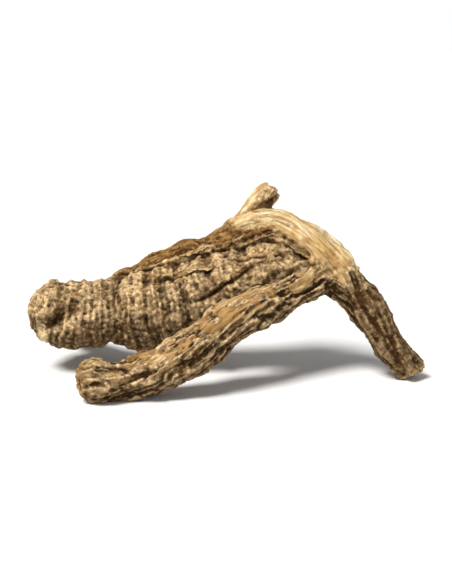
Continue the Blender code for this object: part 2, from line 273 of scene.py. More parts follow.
# %% [markdown]
# Noise makes the pattern wander. One helper reads Blender's smooth noise at many points at once, stretched
# by a size along each axis. Ridges come from noise folded at zero, which gives sharp crests and soft
# valleys, as in shrunken bark.

# %% Helpers for noise and soft steps
SECOND_LAYER = 0.6
CREST_SHARPNESS = 2.6


def grainy(points, size, draw):
    """Smooth noise at each point, from about -1 to 1. Each draw is another pattern."""
    moved = points / np.array(size) + np.array((draw, 0, 0))
    return np.array([noise.noise(point) for point in moved.tolist()])


def rough(points, size, draw):
    """Grainy noise with a second layer at half the size, so that no one size stands out."""
    halved = np.array(size) / 2
    return grainy(points, size, draw) + SECOND_LAYER * grainy(points, halved, draw + 0.5)


def ridged(points, size, draw):
    """Noise with sharp crests at 1 and soft valleys near 0."""
    return 1 - np.minimum(np.abs(grainy(points, size, draw)) * CREST_SHARPNESS, 1)


def ramp(value, low, high):
    """0 below low, 1 above high, and a smooth step between."""
    t = np.clip((value - low) / (high - low), 0, 1)
    return t * t * (3 - 2 * t)


def unrolled(s, angle, radius):
    """A limb's own straight space: its length along x, and the circle round it in y and z."""
    return np.stack([s, radius * np.cos(angle), radius * np.sin(angle)], axis=1)


def turned_from(angle, degrees):
    """How far an angle lies from a number of degrees, up to half a turn either way."""
    return (angle - math.radians(degrees) + math.pi) % math.tau - math.pi


sample = rough(places[::100], 2 * MM, 0)
print("rough noise runs from", round(sample.min(), 2), "to", round(sample.max(), 2))

# %% [markdown]
# Bark comes off dried roots in patches with ragged edges, and the paler wood or the orange inner bark shows
# there. A patch is an oval on the unrolled limb whose rim is broken up by noise. The same patches sink the
# surface here and change its colour later.

# %% Where the bark has come off
class Patch(NamedTuple):
    """An oval on a limb: its middle and its half sizes, along in millimetres and round in degrees."""

    limb: str
    middle: float
    degrees: float
    half_length: float
    half_width: float


# The bare, pale wood of the arch, its torn stub and a few scrapes.
BARE_PATCHES = (
    Patch("arched", 57.0, 66.0, 17.5, 84.0),
    Patch("arched", 65.0, 22.0, 8.0, 58.0),
    Patch("stub", 11.0, 172.0, 12.0, 74.0),
    Patch("stub", 17.0, -40.0, 6.0, 60.0),
    Patch("front", 43.0, 96.0, 6.0, 22.0),
    Patch("front", 28.0, 88.0, 8.0, 20.0),
    Patch("front", 60.0, 70.0, 4.0, 22.0),
    Patch("rhizome", 4.4, -50.0, 2.0, 34.0),
)
# The orange-brown inner bark along the upper root.
INNER_PATCHES = (
    Patch("arched", 20.0, 96.0, 26.0, 74.0),
    Patch("arched", 42.0, 80.0, 12.0, 96.0),
    Patch("arched", 86.0, 130.0, 9.0, 40.0),
    Patch("stub", 6.0, 0.0, 9.0, 180.0),
    Patch("front", 55.0, 110.0, 8.0, 40.0),
)
# Where the bare wood has turned golden.
GOLDEN_PATCHES = (
    Patch("arched", 68.0, 4.0, 11.0, 60.0),
    Patch("arched", 52.0, -20.0, 8.0, 30.0),
    Patch("stub", 9.0, 60.0, 6.0, 50.0),
    Patch("front", 34.0, 50.0, 24.0, 34.0),
)
# The limbs that end in a break, and how far in from the end it shows.
BROKEN_ENDS = {"arched": 1.6 * MM, "stub": 1.8 * MM, "front": 3.2 * MM, "short": 1.6 * MM}
# How much of a patch's half size its ragged edge wanders, and how coarse and how fine it is.
RAGGED = 0.42
RAGGED_SIZE = (5 * MM, 2.2 * MM, 2.2 * MM)
RAGGED_FINER = (2.2 * MM, 0.8 * MM, 0.8 * MM)
PATCH_EDGE = 0.06


def patch_cover(patches, name, s, angle, unrolled_points):
    """How much of each point the patches of this limb cover, from 0 to 1, with ragged edges."""
    cover = np.zeros(len(s))
    ragged = grainy(unrolled_points, RAGGED_SIZE, 60)
    ragged += 0.5 * grainy(unrolled_points, RAGGED_FINER, 61)
    for patch in patches:
        if patch.limb == name:
            off = np.hypot(
                (s - patch.middle * MM) / (patch.half_length * MM),
                turned_from(angle, patch.degrees) / math.radians(patch.half_width),
            )
            cover = np.maximum(cover, ramp(1 - off + RAGGED * ragged, 0, PATCH_EDGE))
    return cover


print(len(BARE_PATCHES), "bare,", len(INNER_PATCHES), "inner and", len(GOLDEN_PATCHES), "golden patches")

# %% [markdown]
# The rhizome's rings are the marks of fallen leaves. They keep the places that they have in the solid: the
# same pitch, the same slow drift and the same waver. Over the blunt end, where the solid has none, they
# turn inwards, stand higher and wander more, and they stop round a plain scar.

# %% The rings of the rhizome
RING_PITCH = 1.75 * MM
RING_DRIFTS = ((0.5, 6.1 * MM, 0.0), (0.25, 3.7 * MM, 1.0))
RING_WOBBLE = 1.1 * MM
RING_WOBBLE_SIZE = 7.0 * MM
RINGS_FADE_OUT = (60.0 * MM, 74.0 * MM)
END_FACE = (0.5 * MM, 3.5 * MM)
END_RADIUS = 8.0 * MM
END_RINGS_CLOSER = 0.75
END_RINGS_DEEPER = 2.0
END_WANDER_MORE = 0.7
END_SCAR = (1.6 * MM, 4.2 * MM)


def count_rings(s, radius, where):
    """How far each point lies in the run of rings, how plainly they show, and how much it is on the end."""
    wander = RING_WOBBLE * grainy(where + DRAWN_AT, RING_WOBBLE_SIZE, 21)
    on_end = 1 - ramp(s, *END_FACE)
    ringed = s + END_RINGS_CLOSER * on_end * np.minimum(radius - END_RADIUS, 0)
    ringed -= (1 + END_WANDER_MORE * on_end) * wander
    rings_before = ringed / RING_PITCH + sum(
        rings * np.sin(ringed / turn + phase) for rings, turn, phase in RING_DRIFTS
    )
    scar = on_end * (1 - ramp(radius, *END_SCAR))
    fade = (1 - ramp(s, *RINGS_FADE_OUT)) * (1 - scar)
    return math.tau * rings_before, fade, on_end


print("about", round(RINGS_FADE_OUT[0] / RING_PITCH), "rings show on the rhizome")

# %% [markdown]
# Drying tears the rhizome open along its length. Each crack is a line on the unrolled limb: a groove runs
# along it, and the bark beside the groove stands up as a pale, torn bank.

# %% The cracks of the rhizome
CRACK_DEPTH = 0.5 * MM
CRACK_WAVER = 0.5 * MM
CRACK_WAVER_SIZE = 3.0 * MM
# How many widths the bank lies from the groove, and how high it stands where it is wholly pale.
BANK_OFFSET = 1.5
PALE_BANK = 0.5 * MM
# A crack as (start, end), each (distance, degrees up from the viewer's side), its width and its lip.
CRACKS = (
    ((33.0, 70.0), (55.0, 54.0), 0.8 * MM, 0.55 * MM),
    ((46.0, 8.0), (66.0, 34.0), 0.6 * MM, 0.25 * MM),
    ((52.0, -34.0), (70.0, -12.0), 0.6 * MM, 0.25 * MM),
    ((60.0, 60.0), (74.0, 20.0), 0.5 * MM, 0.35 * MM),
)


def crack_field(s, angle, radius, crack):
    """How far each point lies from a crack's line, on its upper side if above 0, and the share along."""
    (s0, degrees0), (s1, degrees1) = crack[:2]
    along = s - s0 * MM
    across = radius * turned_from(angle, degrees0)
    run = (s1 - s0) * MM
    rise = radius * math.radians(degrees1 - degrees0)
    length = np.hypot(run, rise)
    share = (along * run + across * rise) / length**2
    off = (across * run - along * rise) / length
    past = (np.clip(share, 0, 1) - share) * length
    return np.sign(off) * np.hypot(off, past), np.clip(share, 0, 1)


def crack_relief(s, angle, radius, flat):
    """The relief of the cracks, the painted shade in their grooves, and how pale they make the bark."""
    raised, hollow_shade, pale = (np.zeros(len(s)) for _ in range(3))
    for crack in CRACKS:
        off, share = crack_field(s, angle, radius, crack)
        width, lip = crack[2:]
        wavering = off + CRACK_WAVER * grainy(flat, CRACK_WAVER_SIZE, 16)
        taper = np.sin(math.pi * (0.05 + 0.9 * share))
        groove = taper * np.exp(-((wavering / width) ** 2))
        bank = taper * np.exp(-(((wavering - BANK_OFFSET * width) / width) ** 2))
        raised += lip * bank - CRACK_DEPTH * groove
        hollow_shade = np.maximum(hollow_shade, 1.3 * groove)
        pale = np.maximum(pale, bank * lip / PALE_BANK)
    return raised, hollow_shade, pale


print("the rhizome has", len(CRACKS), "cracks")

# %% [markdown]
# The crests of the rings are broken into beads, and a fainter ring runs between two strong ones. Where the
# rings fade out, slanted folds take their place. Lumps, grain, lengthwise furrows and a few splits keep
# any two rings from looking alike.

# %% The relief of the rhizome
RING_DEPTH = 0.052 * MM
BETWEEN_DEPTH = 0.025 * MM
BETWEEN_SIZE = 3.0 * MM
UNEVEN_SIZE = (5 * MM, 4 * MM, 4 * MM)
SLANT = 0.6
SLANTED_HEIGHT = 0.35 * MM
SLANTED_SIZE = (2.2 * MM, 6 * MM, 6 * MM)
BEAD_HEIGHT = 0.30 * MM
BEAD_SIZE = 1.5 * MM
LUMP_HEIGHT = 0.26 * MM
LUMP_SIZE = 3.4 * MM
GRAIN_HEIGHT = 0.16 * MM
GRAIN_SIZE = 1.0 * MM
FURROW_DEPTH = 0.10 * MM
FURROW_SIZE = (8 * MM, 2.6 * MM, 2.6 * MM)
SPLIT_DEPTH = 0.14 * MM
SPLIT_SIZE = (7 * MM, 3 * MM, 3 * MM)


def rhizome_relief(s, angle, radius, where):
    """The fine relief of the rhizome, the painted shade in its hollows, and how pale it makes the bark."""
    flat = unrolled(s, angle, radius)
    phase, fade, on_end = count_rings(s, radius, where)
    crest = np.cos(phase)
    uneven = np.clip(0.85 + 1.3 * grainy(flat, UNEVEN_SIZE, 3), 0.3, 1.5)
    beads = rough(where, BEAD_SIZE, 12)
    raised = RING_DEPTH * (1 + END_RINGS_DEEPER * on_end) * fade * uneven * crest * (1 + beads)
    raised += BETWEEN_DEPTH * fade * np.cos(2 * phase + 2 * grainy(where, BETWEEN_SIZE, 13))
    slanted = flat + np.stack([SLANT * flat[:, 1], 0 * s, 0 * s], axis=1)
    raised += (1 - fade) * SLANTED_HEIGHT * (ridged(slanted, SLANTED_SIZE, 14) - 0.5)
    raised += BEAD_HEIGHT * beads + LUMP_HEIGHT * grainy(where, LUMP_SIZE, 15)
    raised += GRAIN_HEIGHT * grainy(where, GRAIN_SIZE, 11)
    furrows = ramp(ridged(flat, FURROW_SIZE, 19), 0.72, 1.0)
    split = ramp(grainy(flat, SPLIT_SIZE, 18), 0.12, 0.3) * ramp(-crest, 0.5, 0.95)
    raised -= FURROW_DEPTH * furrows + SPLIT_DEPTH * fade * split
    hollow_shade = fade * np.maximum(0.16 * (1 - crest) * uneven, 0.6 * split)
    cracked, sunk, pale = crack_relief(s, angle, radius, flat)
    hollow_shade = np.maximum(np.maximum(hollow_shade, 0.3 * furrows), sunk)
    return raised + cracked, np.clip(hollow_shade, 0, 1), pale


rows = np.nonzero(owner == list(LIMBS).index("rhizome"))[0][::50]
sample, _, _ = rhizome_relief(*(values[rows] for values in located["rhizome"][:3]), places[rows])
print("the relief of the rhizome is", np.percentile(sample / MM, (0, 50, 100)).round(2), "mm")

# %% [markdown]
# A root shrinks round its core as it dries, so its bark folds into ridges that run along it and wind slowly
# round. Small warts, pits and a fine grain break them up.

# %% The wrinkles of the roots
# How high the lengthwise ridges and the warts are on each root, and how deep the pits, in millimetres.
ROOT_MARKS = {
    "arched": (0.40, 0.40, 0.30),
    "front": (0.46, 0.62, 0.30),
    "stub": (0.40, 0.14, 0.20),
    "short": (0.40, 0.45, 0.30),
}
RIDGE_SIZE = (11 * MM, 2.0 * MM, 2.0 * MM)
FINE_RIDGE_HEIGHT = 0.14 * MM
FINE_RIDGE_SIZE = (6 * MM, 0.9 * MM, 0.9 * MM)
WART_SIZE = (4.0 * MM, 2.4 * MM, 2.4 * MM)
ROOT_BEAD_HEIGHT = 0.20 * MM
ROOT_BEAD_SIZE = 1.3 * MM
PIT_SIZE = (7.0 * MM, 1.7 * MM, 1.7 * MM)
# The ridges turn one radian round the root in this length.
WIND = 60.0 * MM


def root_relief(s, angle, radius, where, marks):
    """The fine relief of a root, and the painted shade in its hollows."""
    ridge_height, wart_height, pit_depth = marks
    wound = angle + s / WIND
    flat = unrolled(s, wound, radius)
    ridges = ridged(flat, RIDGE_SIZE, 30)
    finer = ridged(flat, FINE_RIDGE_SIZE, 31)
    warts = rough(flat, WART_SIZE, 33)
    beads = rough(where, ROOT_BEAD_SIZE, 34)
    pits = ramp(rough(flat, PIT_SIZE, 39), 0.36, 0.62)
    raised = MM * (ridge_height * (ridges - 0.5) + wart_height * warts - pit_depth * pits)
    raised += FINE_RIDGE_HEIGHT * (finer - 0.5) + ROOT_BEAD_HEIGHT * beads
    hollow_shade = 0.8 - ridges * 0.7 - 0.2 * finer + pit_depth * pits
    return raised, np.clip(hollow_shade, 0, 1)


print("the ridges wind once round in", round(math.tau * WIND / MM), "mm")

# %% [markdown]
# One function gives the bark of a limb: its relief, and how much of each finish shows. Bare wood lies lower
# than bark, by the thickness of the bark, and its fibres stand out. Broken ends are torn into fibres, and
# the front root has bare flecks along its upper side.

# %% The bark of one limb
# The first finish is painted shade in grooves, pits and crevices.
FINISHES = ("hollow_shade", "bare", "inner", "golden", "tone")
BARK_THICKNESS = 0.34 * MM
FIBRE_HEIGHT = 0.14 * MM
FIBRE_SIZE = (14 * MM, 0.6 * MM, 0.6 * MM)
TORN_RIM = 0.9 * MM
TORN_RIM_SIZE = 1.6 * MM
TORN_DEPTH = 0.7 * MM
TORN_SIZE = (9 * MM, 0.8 * MM, 0.8 * MM)
FLECK_SIZE = (4.6 * MM, 2.8 * MM, 2.8 * MM)
FLECKED_SIDE = math.radians(70)
# How strongly light and dark blotches of about this size mottle each limb, and how dark it is in all.
BLOTCH_SIZE = 3.2 * MM
MOTTLING = {"rhizome": 0.45, "arched": 0.6, "front": 1.1, "stub": 0.8, "short": 0.8}
# The front root is darker partly in its own colour and partly as painted shade.
DARKER = {"arched": 0.10, "front": 0.62, "stub": 0.12, "rhizome": -0.22}
# Light and dark bands cross the rhizome.
BAND_TONE = 0.28
BAND_SIZE = (3.6 * MM, 36 * MM, 36 * MM)


def limb_bark(name, s, angle, radius, where, facing):
    """The relief of a limb at some points, and how much of each finish shows there."""
    flat = unrolled(s, angle, radius)
    bare = patch_cover(BARE_PATCHES, name, s, angle, flat)
    inner = patch_cover(INNER_PATCHES, name, s, angle, flat + 40 * MM)
    golden = patch_cover(GOLDEN_PATCHES, name, s, angle, flat + 80 * MM)
    tone = MOTTLING[name] * rough(where, BLOTCH_SIZE, 72) - DARKER.get(name, 0)
    if name == "rhizome":
        relief, hollow_shade, pale = rhizome_relief(s, angle, radius, where)
        inner = np.maximum(inner, np.clip(pale, 0, 1) * 0.8)
        bare = np.maximum(bare, np.clip(pale - 0.4, 0, 0.6))
        tone += BAND_TONE * grainy(flat, BAND_SIZE, 73)
    else:
        relief, hollow_shade = root_relief(s, angle, radius, where, ROOT_MARKS[name])
    if name == "front":
        upper = ramp(np.cos(angle - FLECKED_SIDE), 0.2, 0.8)
        bare = np.maximum(bare, 0.9 * upper * ramp(rough(flat, FLECK_SIZE, 70), 0.05, 0.17))
    if name in BROKEN_ENDS:
        length = LIMBS[name].length
        rim = s + TORN_RIM * grainy(where, TORN_RIM_SIZE, 42)
        torn = ramp(rim, length - BROKEN_ENDS[name], length)
        end_on = ramp(facing @ LIMBS[name].along[-1], 0.45, 0.85)
        bare = np.maximum(bare * (1 - end_on), torn * (1 - 0.8 * end_on))
        inner = np.maximum(inner, torn * end_on)
        relief -= torn * TORN_DEPTH * ramp(grainy(flat, TORN_SIZE, 43), -0.2, 0.3)
    fibres = ridged(flat, FIBRE_SIZE, 40) - 0.5
    relief = relief * (1 - 0.55 * bare) - BARK_THICKNESS * (bare + 0.5 * inner)
    relief += FIBRE_HEIGHT * fibres * np.maximum(bare, 0.6 * inner)
    return {"relief": relief, **dict(zip(FINISHES, (hollow_shade, bare, inner, golden, tone)))}


print("the broken ends are on", ", ".join(BROKEN_ENDS))

# %% [markdown]
# The bark of the limbs is laid over the whole skin by the shares, so that it blends where limbs meet, and
# every point is moved along the way that it faces. A narrow crevice follows each join, and torn bark fills
# the corners where three limbs meet. The stubs of rootlets stand out from the limbs, and stay plain.

# %% Raise the relief on the skin
SMALL_SHARE = 0.01
# Points that lie this far out from the limbs belong to rootlets.
ROOTLETS = (0.9 * MM, 1.7 * MM)
CREVICE_WIDTH = 0.9 * MM
CREVICE_DEPTH = 0.6 * MM
CREVICE_ROUGHNESS = 0.5 * MM
CORNER_WIDTH = 3.0 * MM
CORNER_FILL = 0.7 * MM
CORNER_ROUGHNESS = 0.8 * MM
# The skin stays this far inside the solid's box.
INSET = 0.02 * MM

facing = read_points(skin, normals=True)
bark = {field: np.zeros(len(places)) for field in ("relief", *FINISHES)}
for share, (name, (s, angle, radius, _)) in zip(shares, located.items()):
    rows = np.nonzero(share > SMALL_SHARE)[0]
    own = limb_bark(name, s[rows], angle[rows], radius[rows], places[rows], facing[rows])
    for field, values in own.items():
        bark[field][rows] += share[rows] * values

first_gap, second_gap, third_gap = np.sort(gaps, axis=0)[:3]
relief = bark["relief"] * (1 - ramp(first_gap, *ROOTLETS))
crevice = np.exp(-(((second_gap - first_gap) / CREVICE_WIDTH) ** 2))
crevice *= np.clip(0.75 + 1.2 * grainy(places, 3.5 * MM, 44), 0, 1)
relief -= crevice * (CREVICE_DEPTH + CREVICE_ROUGHNESS * rough(places, 1.6 * MM, 45))
# The crevices at the joins are painted in shade too.
hollow_shade = np.maximum(bark["hollow_shade"], 0.7 * crevice)
corner = np.exp(-(((third_gap - first_gap) / CORNER_WIDTH) ** 2))
relief += corner * (CORNER_FILL + CORNER_ROUGHNESS * rough(places, 1.7 * MM, 46))

raised_places = places + relief[:, None] * facing
low, high = (np.array(end) for end in solid_box)
raised_places = np.clip(raised_places, low + (INSET, INSET, 0), high - INSET)
skin.data.vertices.foreach_set("co", raised_places.astype(np.float32).ravel())
skin.data.update()
print("relief from", round(relief.min() / MM, 2), "to", round(relief.max() / MM, 2), "mm")

# %% [markdown]
# Dust and a painted highlight go on crests, and dirt and painted shade in folds. To know which is which,
# the skin is
# compared with smoothed copies of itself: a point that stands out from a copy is a crest, and one that lies
# under it is a fold. A few smoothing steps find the rings and wrinkles, more find the swellings, which get
# painted light and shade, and many find the clefts between limbs, which get painted shade.

# %% Find the folds and the crests
NEAR_STEPS = 5
MIDDLE_STEPS = 28
FAR_STEPS = 120


def smoothed(points, edges, steps):
    """The points after some steps towards the mean of their neighbours."""
    count = np.bincount(edges.ravel(), minlength=len(points))[:, None]
    for _ in range(steps):
        total = np.empty_like(points)
        for axis in range(3):
            column = points[:, axis]
            ahead = np.bincount(edges[:, 0], column[edges[:, 1]], len(points))
            total[:, axis] = ahead + np.bincount(edges[:, 1], column[edges[:, 0]], len(points))
        points = 0.5 * points + 0.5 * total / count
    return points


edges = np.empty(len(skin.data.edges) * 2, np.int32)
skin.data.edges.foreach_get("vertices", edges)
edges = edges.reshape(-1, 2)
facing = read_points(skin, normals=True)
near_copy = smoothed(raised_places, edges, NEAR_STEPS)
middle_copy = smoothed(near_copy, edges, MIDDLE_STEPS)
far_copy = smoothed(middle_copy, edges, FAR_STEPS)
fine_fold = ((near_copy - raised_places) * facing).sum(axis=1) / MM
swell_shading = ((near_copy - middle_copy) * facing).sum(axis=1) / MM
cleft_shade = ((far_copy - middle_copy) * facing).sum(axis=1) / MM
for name, values in (("fine folds", fine_fold), ("swellings", swell_shading), ("clefts", cleft_shade)):
    print(name, np.percentile(values, (5, 50, 95)).round(3), "mm")

# %% [markdown]
# What was found is stored on the skin as attributes, which the material reads by name and which the mesh
# carries with it. The unrolled place goes with them, so that streaks follow each limb round its bends.

# %% Store what the material needs
LIMB_SPACING = 0.3
FOLD_CONTRAST = 4.8
SWELL_CONTRAST = 2.0
CLEFT_CONTRAST = 1.3
TONE_CONTRAST = 0.8
# The rhizome's relief is stronger than the roots', so its contrast is less, by this much.
RHIZOME_FOLDS_LESS = 1.6
RHIZOME_SWELLS_LESS = 0.8
# Painted shade: where the arched root turns dark, and how much darker a face is painted as it turns down.
ARCH_SHADE_FROM = (70 * MM, 80 * MM)
UNDERSIDE_SHADE = 0.9
UNDERSIDE_SHADE_FACING = (-0.5, 0.6)


def store(piece, name, values):
    """Stores a number or a vector for each point of a piece."""
    kind, field = ("FLOAT", "value") if values.ndim == 1 else ("FLOAT_VECTOR", "vector")
    stored = piece.data.attributes.new(name, kind, "POINT")
    stored.data.foreach_set(field, values.astype(np.float32).ravel())


grain = np.zeros_like(places)
for index, (s, angle, radius, _) in enumerate(located.values()):
    mine = owner == index
    grain[mine] = unrolled(s, angle + s / WIND, radius)[mine] + (LIMB_SPACING * index, 0, 0)
store(skin, "grain", grain)
rhizome_share = shares[list(LIMBS).index("rhizome")]
fold_contrast = FOLD_CONTRAST - RHIZOME_FOLDS_LESS * rhizome_share
swell_contrast = SWELL_CONTRAST - RHIZOME_SWELLS_LESS * rhizome_share
store(skin, "fold", np.clip(0.5 + fold_contrast * fine_fold, 0, 1))
# Painted light on swellings and painted shade between them.
store(skin, "swell_shading", np.clip(0.5 + swell_contrast * swell_shading, 0, 1))
# Painted shade in the clefts between limbs.
store(skin, "cleft_shade", np.clip(CLEFT_CONTRAST * cleft_shade, 0, 1))
store(skin, "hollow_shade", hollow_shade)
for name in ("bare", "inner", "golden"):
    store(skin, name, np.clip(bark[name], 0, 1))
store(skin, "tone", np.clip(0.5 + TONE_CONTRAST * bark["tone"], 0, 1))
# Painted shade on the lower end of the arched root and on every face that turns down.
painted_shade = ramp(located["arched"][0], *ARCH_SHADE_FROM) * (owner == list(LIMBS).index("arched"))
underside_shade = UNDERSIDE_SHADE * ramp(-facing[:, 2], *UNDERSIDE_SHADE_FACING)
store(skin, "painted_shade", np.maximum(painted_shade, underside_shade))
for name in ("bare", "inner"):
    print(name, "shows on", round(100 * np.clip(bark[name], 0, 1).mean()), "% of the skin")

# %% [markdown]
# The material is built from nodes. A few helpers add a node and join it: one for an attribute of the skin,
# one for noise, one that stretches a vector, one that mixes two colours, and one that spreads a value from
# one range to another.

# %% Helpers for the material
def add_node(material, kind, **settings):
    """Adds a node to a material, sets its fields, and sets or joins its inputs by name or number."""
    tree = material.node_tree
    node = tree.nodes.new(kind)
    inputs = settings.pop("inputs", {})
    for field, value in settings.items():
        setattr(node, field, value)
    for key, value in inputs.items():
        if isinstance(value, bpy.types.NodeSocket):
            tree.links.new(value, node.inputs[key])
        else:
            node.inputs[key].default_value = value
    return node


def attribute(material, name, output="Fac"):
    """What the mesh stores under a name, as a number or, from the output Vector, as a vector."""
    return add_node(material, "ShaderNodeAttribute", attribute_name=name).outputs[output]


def noise_value(material, vector, scale, detail, roughness=0.6):
    """Smooth noise from 0 to 1, with this many cells in a metre and this much finer detail."""
    inputs = {"Vector": vector, "Scale": scale, "Detail": detail, "Roughness": roughness}
    return add_node(material, "ShaderNodeTexNoise", inputs=inputs).outputs["Fac"]


def stretched(material, vector, scales):
    """A vector with its axes scaled apart, so that noise on it runs in streaks."""
    return add_node(material, "ShaderNodeMapping", inputs={"Vector": vector, "Scale": scales}).outputs[0]


def blend(material, share, first, second, how="MIX"):
    """A mix of two colours, each a socket or a colour, by a share that is a socket or a number."""
    node = add_node(material, "ShaderNodeMix", data_type="RGBA", blend_type=how)
    for key, value in ((0, share), (6, first), (7, second)):
        if isinstance(value, bpy.types.NodeSocket):
            material.node_tree.links.new(value, node.inputs[key])
        else:
            node.inputs[key].default_value = value if key == 0 else (*value, 1)
    return node.outputs[2]


def remap(material, value, low, high, new_low=0.0, new_high=1.0):
    """A value spread from one range to another, and kept in it."""
    inputs = {0: value, 1: low, 2: high, 3: new_low, 4: new_high}
    return add_node(material, "ShaderNodeMapRange", inputs=inputs).outputs[0]


def arithmetic(material, how, first, second):
    """A sum or a product of two values."""
    return add_node(material, "ShaderNodeMath", operation=how, inputs={0: first, 1: second}).outputs[0]


def new_material(name):
    """A material with Blender's standard shader."""
    material = bpy.data.materials.new(name)
    material.use_nodes = True
    return material


# %% [markdown]
# Every finish reads the same clues. Some are what the skin stores, such as its folds and its bare places.
# The others are noise: blotches and specks on the place itself, and streaks, fibres and bands on the
# unrolled place, so that they run along each limb. Dust and a painted highlight lie on crests, and dirt and
# painted shade in folds.

# %% The clues for the finishes
STORED = ("fold", "swell_shading", "cleft_shade", "hollow_shade", "bare", "inner", "golden", "tone", "painted_shade")
# Cells in a metre of each noise, its detail and its roughness.
PLACED_NOISES = {
    "blotches": (130, 3, 0.6),
    "broad": (110, 2, 0.6),
    "speckles": (1050, 3, 0.7),
    "grit": (1700, 6, 0.75),
}
# Cells in a metre along the limb and across it, and the detail.
GRAIN_NOISES = {
    "streaks": (120, 1100, 4),
    "fibres": (70, 2200, 3),
    "bands": (70, 420, 3),
}


def read_clues(material):
    """The values that the finishes share, by name."""
    clues = {name: attribute(material, name) for name in STORED}
    place = add_node(material, "ShaderNodeTexCoord").outputs["Object"]
    for name, (scale, detail, roughness) in PLACED_NOISES.items():
        clues[name] = noise_value(material, place, scale, detail, roughness)
    grain = attribute(material, "grain", "Vector")
    for name, (along, across, detail) in GRAIN_NOISES.items():
        vector = stretched(material, grain, (along, across, across))
        clues[name] = noise_value(material, vector, 1.0, detail)
    # A painted highlight, with dust, on crests, and dirt with painted shade in folds.
    clues["dust_and_highlight"] = remap(material, clues["fold"], 0.44, 0.06)
    clues["dirt_and_shade"] = remap(material, clues["fold"], 0.50, 0.95)
    uneven = remap(material, clues["blotches"], 0.25, 0.6, 0.55, 0.9)
    clues["blotchy dust"] = arithmetic(material, "MULTIPLY", clues["dust_and_highlight"], uneven)
    return clues


print("the finishes read", len(STORED) + len(PLACED_NOISES) + len(GRAIN_NOISES), "clues")

# %% [markdown]
# A finish is a first colour with thin layers of other colours over it. Each layer shows where its clue runs
# from one value to another, up to a strength. Bark has the most layers: dust, dirt and stains, painted
# highlights on crests and swellings, and painted shade in folds, hollows, between swellings and on faces
# that turn down. The inner bark is orange-brown, and the bare wood runs from pale to golden, with dark
# fibres.

# %% The layers of the finishes
BARK_LIGHT = (0.68, 0.475, 0.25)
BARK_MIDDLE = (0.325, 0.188, 0.074)
BARK_GREY = (0.262, 0.164, 0.080)
BARK_DARK = (0.024, 0.011, 0.003)
BARK_SHADE = (0.055, 0.026, 0.007)
INNER_BARK = (0.195, 0.090, 0.024)
INNER_PALE = (0.325, 0.190, 0.068)
WOOD_PALE = (0.98, 0.83, 0.53)
WOOD_GOLD = (0.62, 0.38, 0.13)
WOOD_AGED = (0.42, 0.22, 0.07)
WOOD_FIBRE = (0.20, 0.095, 0.025)

# Each layer is a colour, its clue, the values of the clue where it starts and where it is full, and its
# strength.
BARK_LAYERS = (
    (BARK_GREY, "blotches", 0.38, 0.62, 1.0),
    (BARK_DARK, "broad", 0.44, 0.62, 0.55),
    (BARK_LIGHT, "tone", 0.54, 0.84, 0.75),
    (BARK_DARK, "tone", 0.46, 0.16, 0.80),
    (BARK_LIGHT, "streaks", 0.54, 0.72, 0.35),
    # Painted shade on the lower arched root and on faces that turn down, here and in the last layer.
    (BARK_SHADE, "painted_shade", 0.0, 1.0, 0.7),
    # A painted highlight, with dust, on crests, then dirt with painted shade in folds.
    (BARK_LIGHT, "blotchy dust", 0.0, 1.0, 1.0),
    (BARK_DARK, "dirt_and_shade", 0.0, 1.0, 0.88),
    # Painted light on swellings and painted shade between them.
    (BARK_LIGHT, "swell_shading", 0.50, 0.90, 0.40),
    (BARK_DARK, "swell_shading", 0.46, 0.08, 0.75),
    # Painted shade in hollows, grooves and crevices.
    (BARK_DARK, "hollow_shade", 0.5, 1.0, 0.55),
    (BARK_SHADE, "painted_shade", 0.0, 1.0, 0.6),
)
INNER_LAYERS = (
    (INNER_PALE, "streaks", 0.40, 0.66, 1.0),
    # A painted highlight on crests, and dirt with painted shade in folds.
    (INNER_PALE, "dust_and_highlight", 0.0, 1.0, 0.4),
    (BARK_DARK, "dirt_and_shade", 0.0, 1.0, 0.85),
)
WOOD_LAYERS = (
    (WOOD_PALE, "streaks", 0.36, 0.60, 1.0),
    (WOOD_GOLD, "golden", 0.0, 1.0, 0.6),
    (WOOD_FIBRE, "fibres", 0.54, 0.66, 0.75),
    (WOOD_GOLD, "bands", 0.52, 0.64, 0.7),
    (WOOD_AGED, "bands", 0.44, 0.34, 0.7),
    (WOOD_AGED, "tone", 0.36, 0.06, 0.7),
    # Dirt with painted shade in folds.
    (WOOD_FIBRE, "dirt_and_shade", 0.0, 1.0, 0.7),
)


def layered(material, clues, colour, layers):
    """A first colour with all of these layers over it."""
    for over, clue, start, full, strength in layers:
        share = remap(material, clues[clue], start, full, 0.0, strength)
        colour = blend(material, share, colour, over)
    return colour


print("bark has", len(BARK_LAYERS), "layers, inner bark", len(INNER_LAYERS), "and wood", len(WOOD_LAYERS))

# %% [markdown]
# The attributes then say where each finish shows, and painted shade darkens the clefts between limbs over
# all of them. A fine bump gives the grit that is too small to model. Bark is rough with almost no gloss,
# while the bare wood is a little smoother.

# %% The material of the skin
SPECKLES_FROM = 0.35
SPECKLES_TO = 1.65
CLEFT_SHADE_STRENGTH = 0.75
BUMP_STRENGTH = 0.9
BUMP_HEIGHT = 0.34 * MM
STREAK_HEIGHT = 0.8
BARK_ROUGHNESS = 0.92
WOOD_ROUGHNESS = 0.66
GLOSS = 0.08


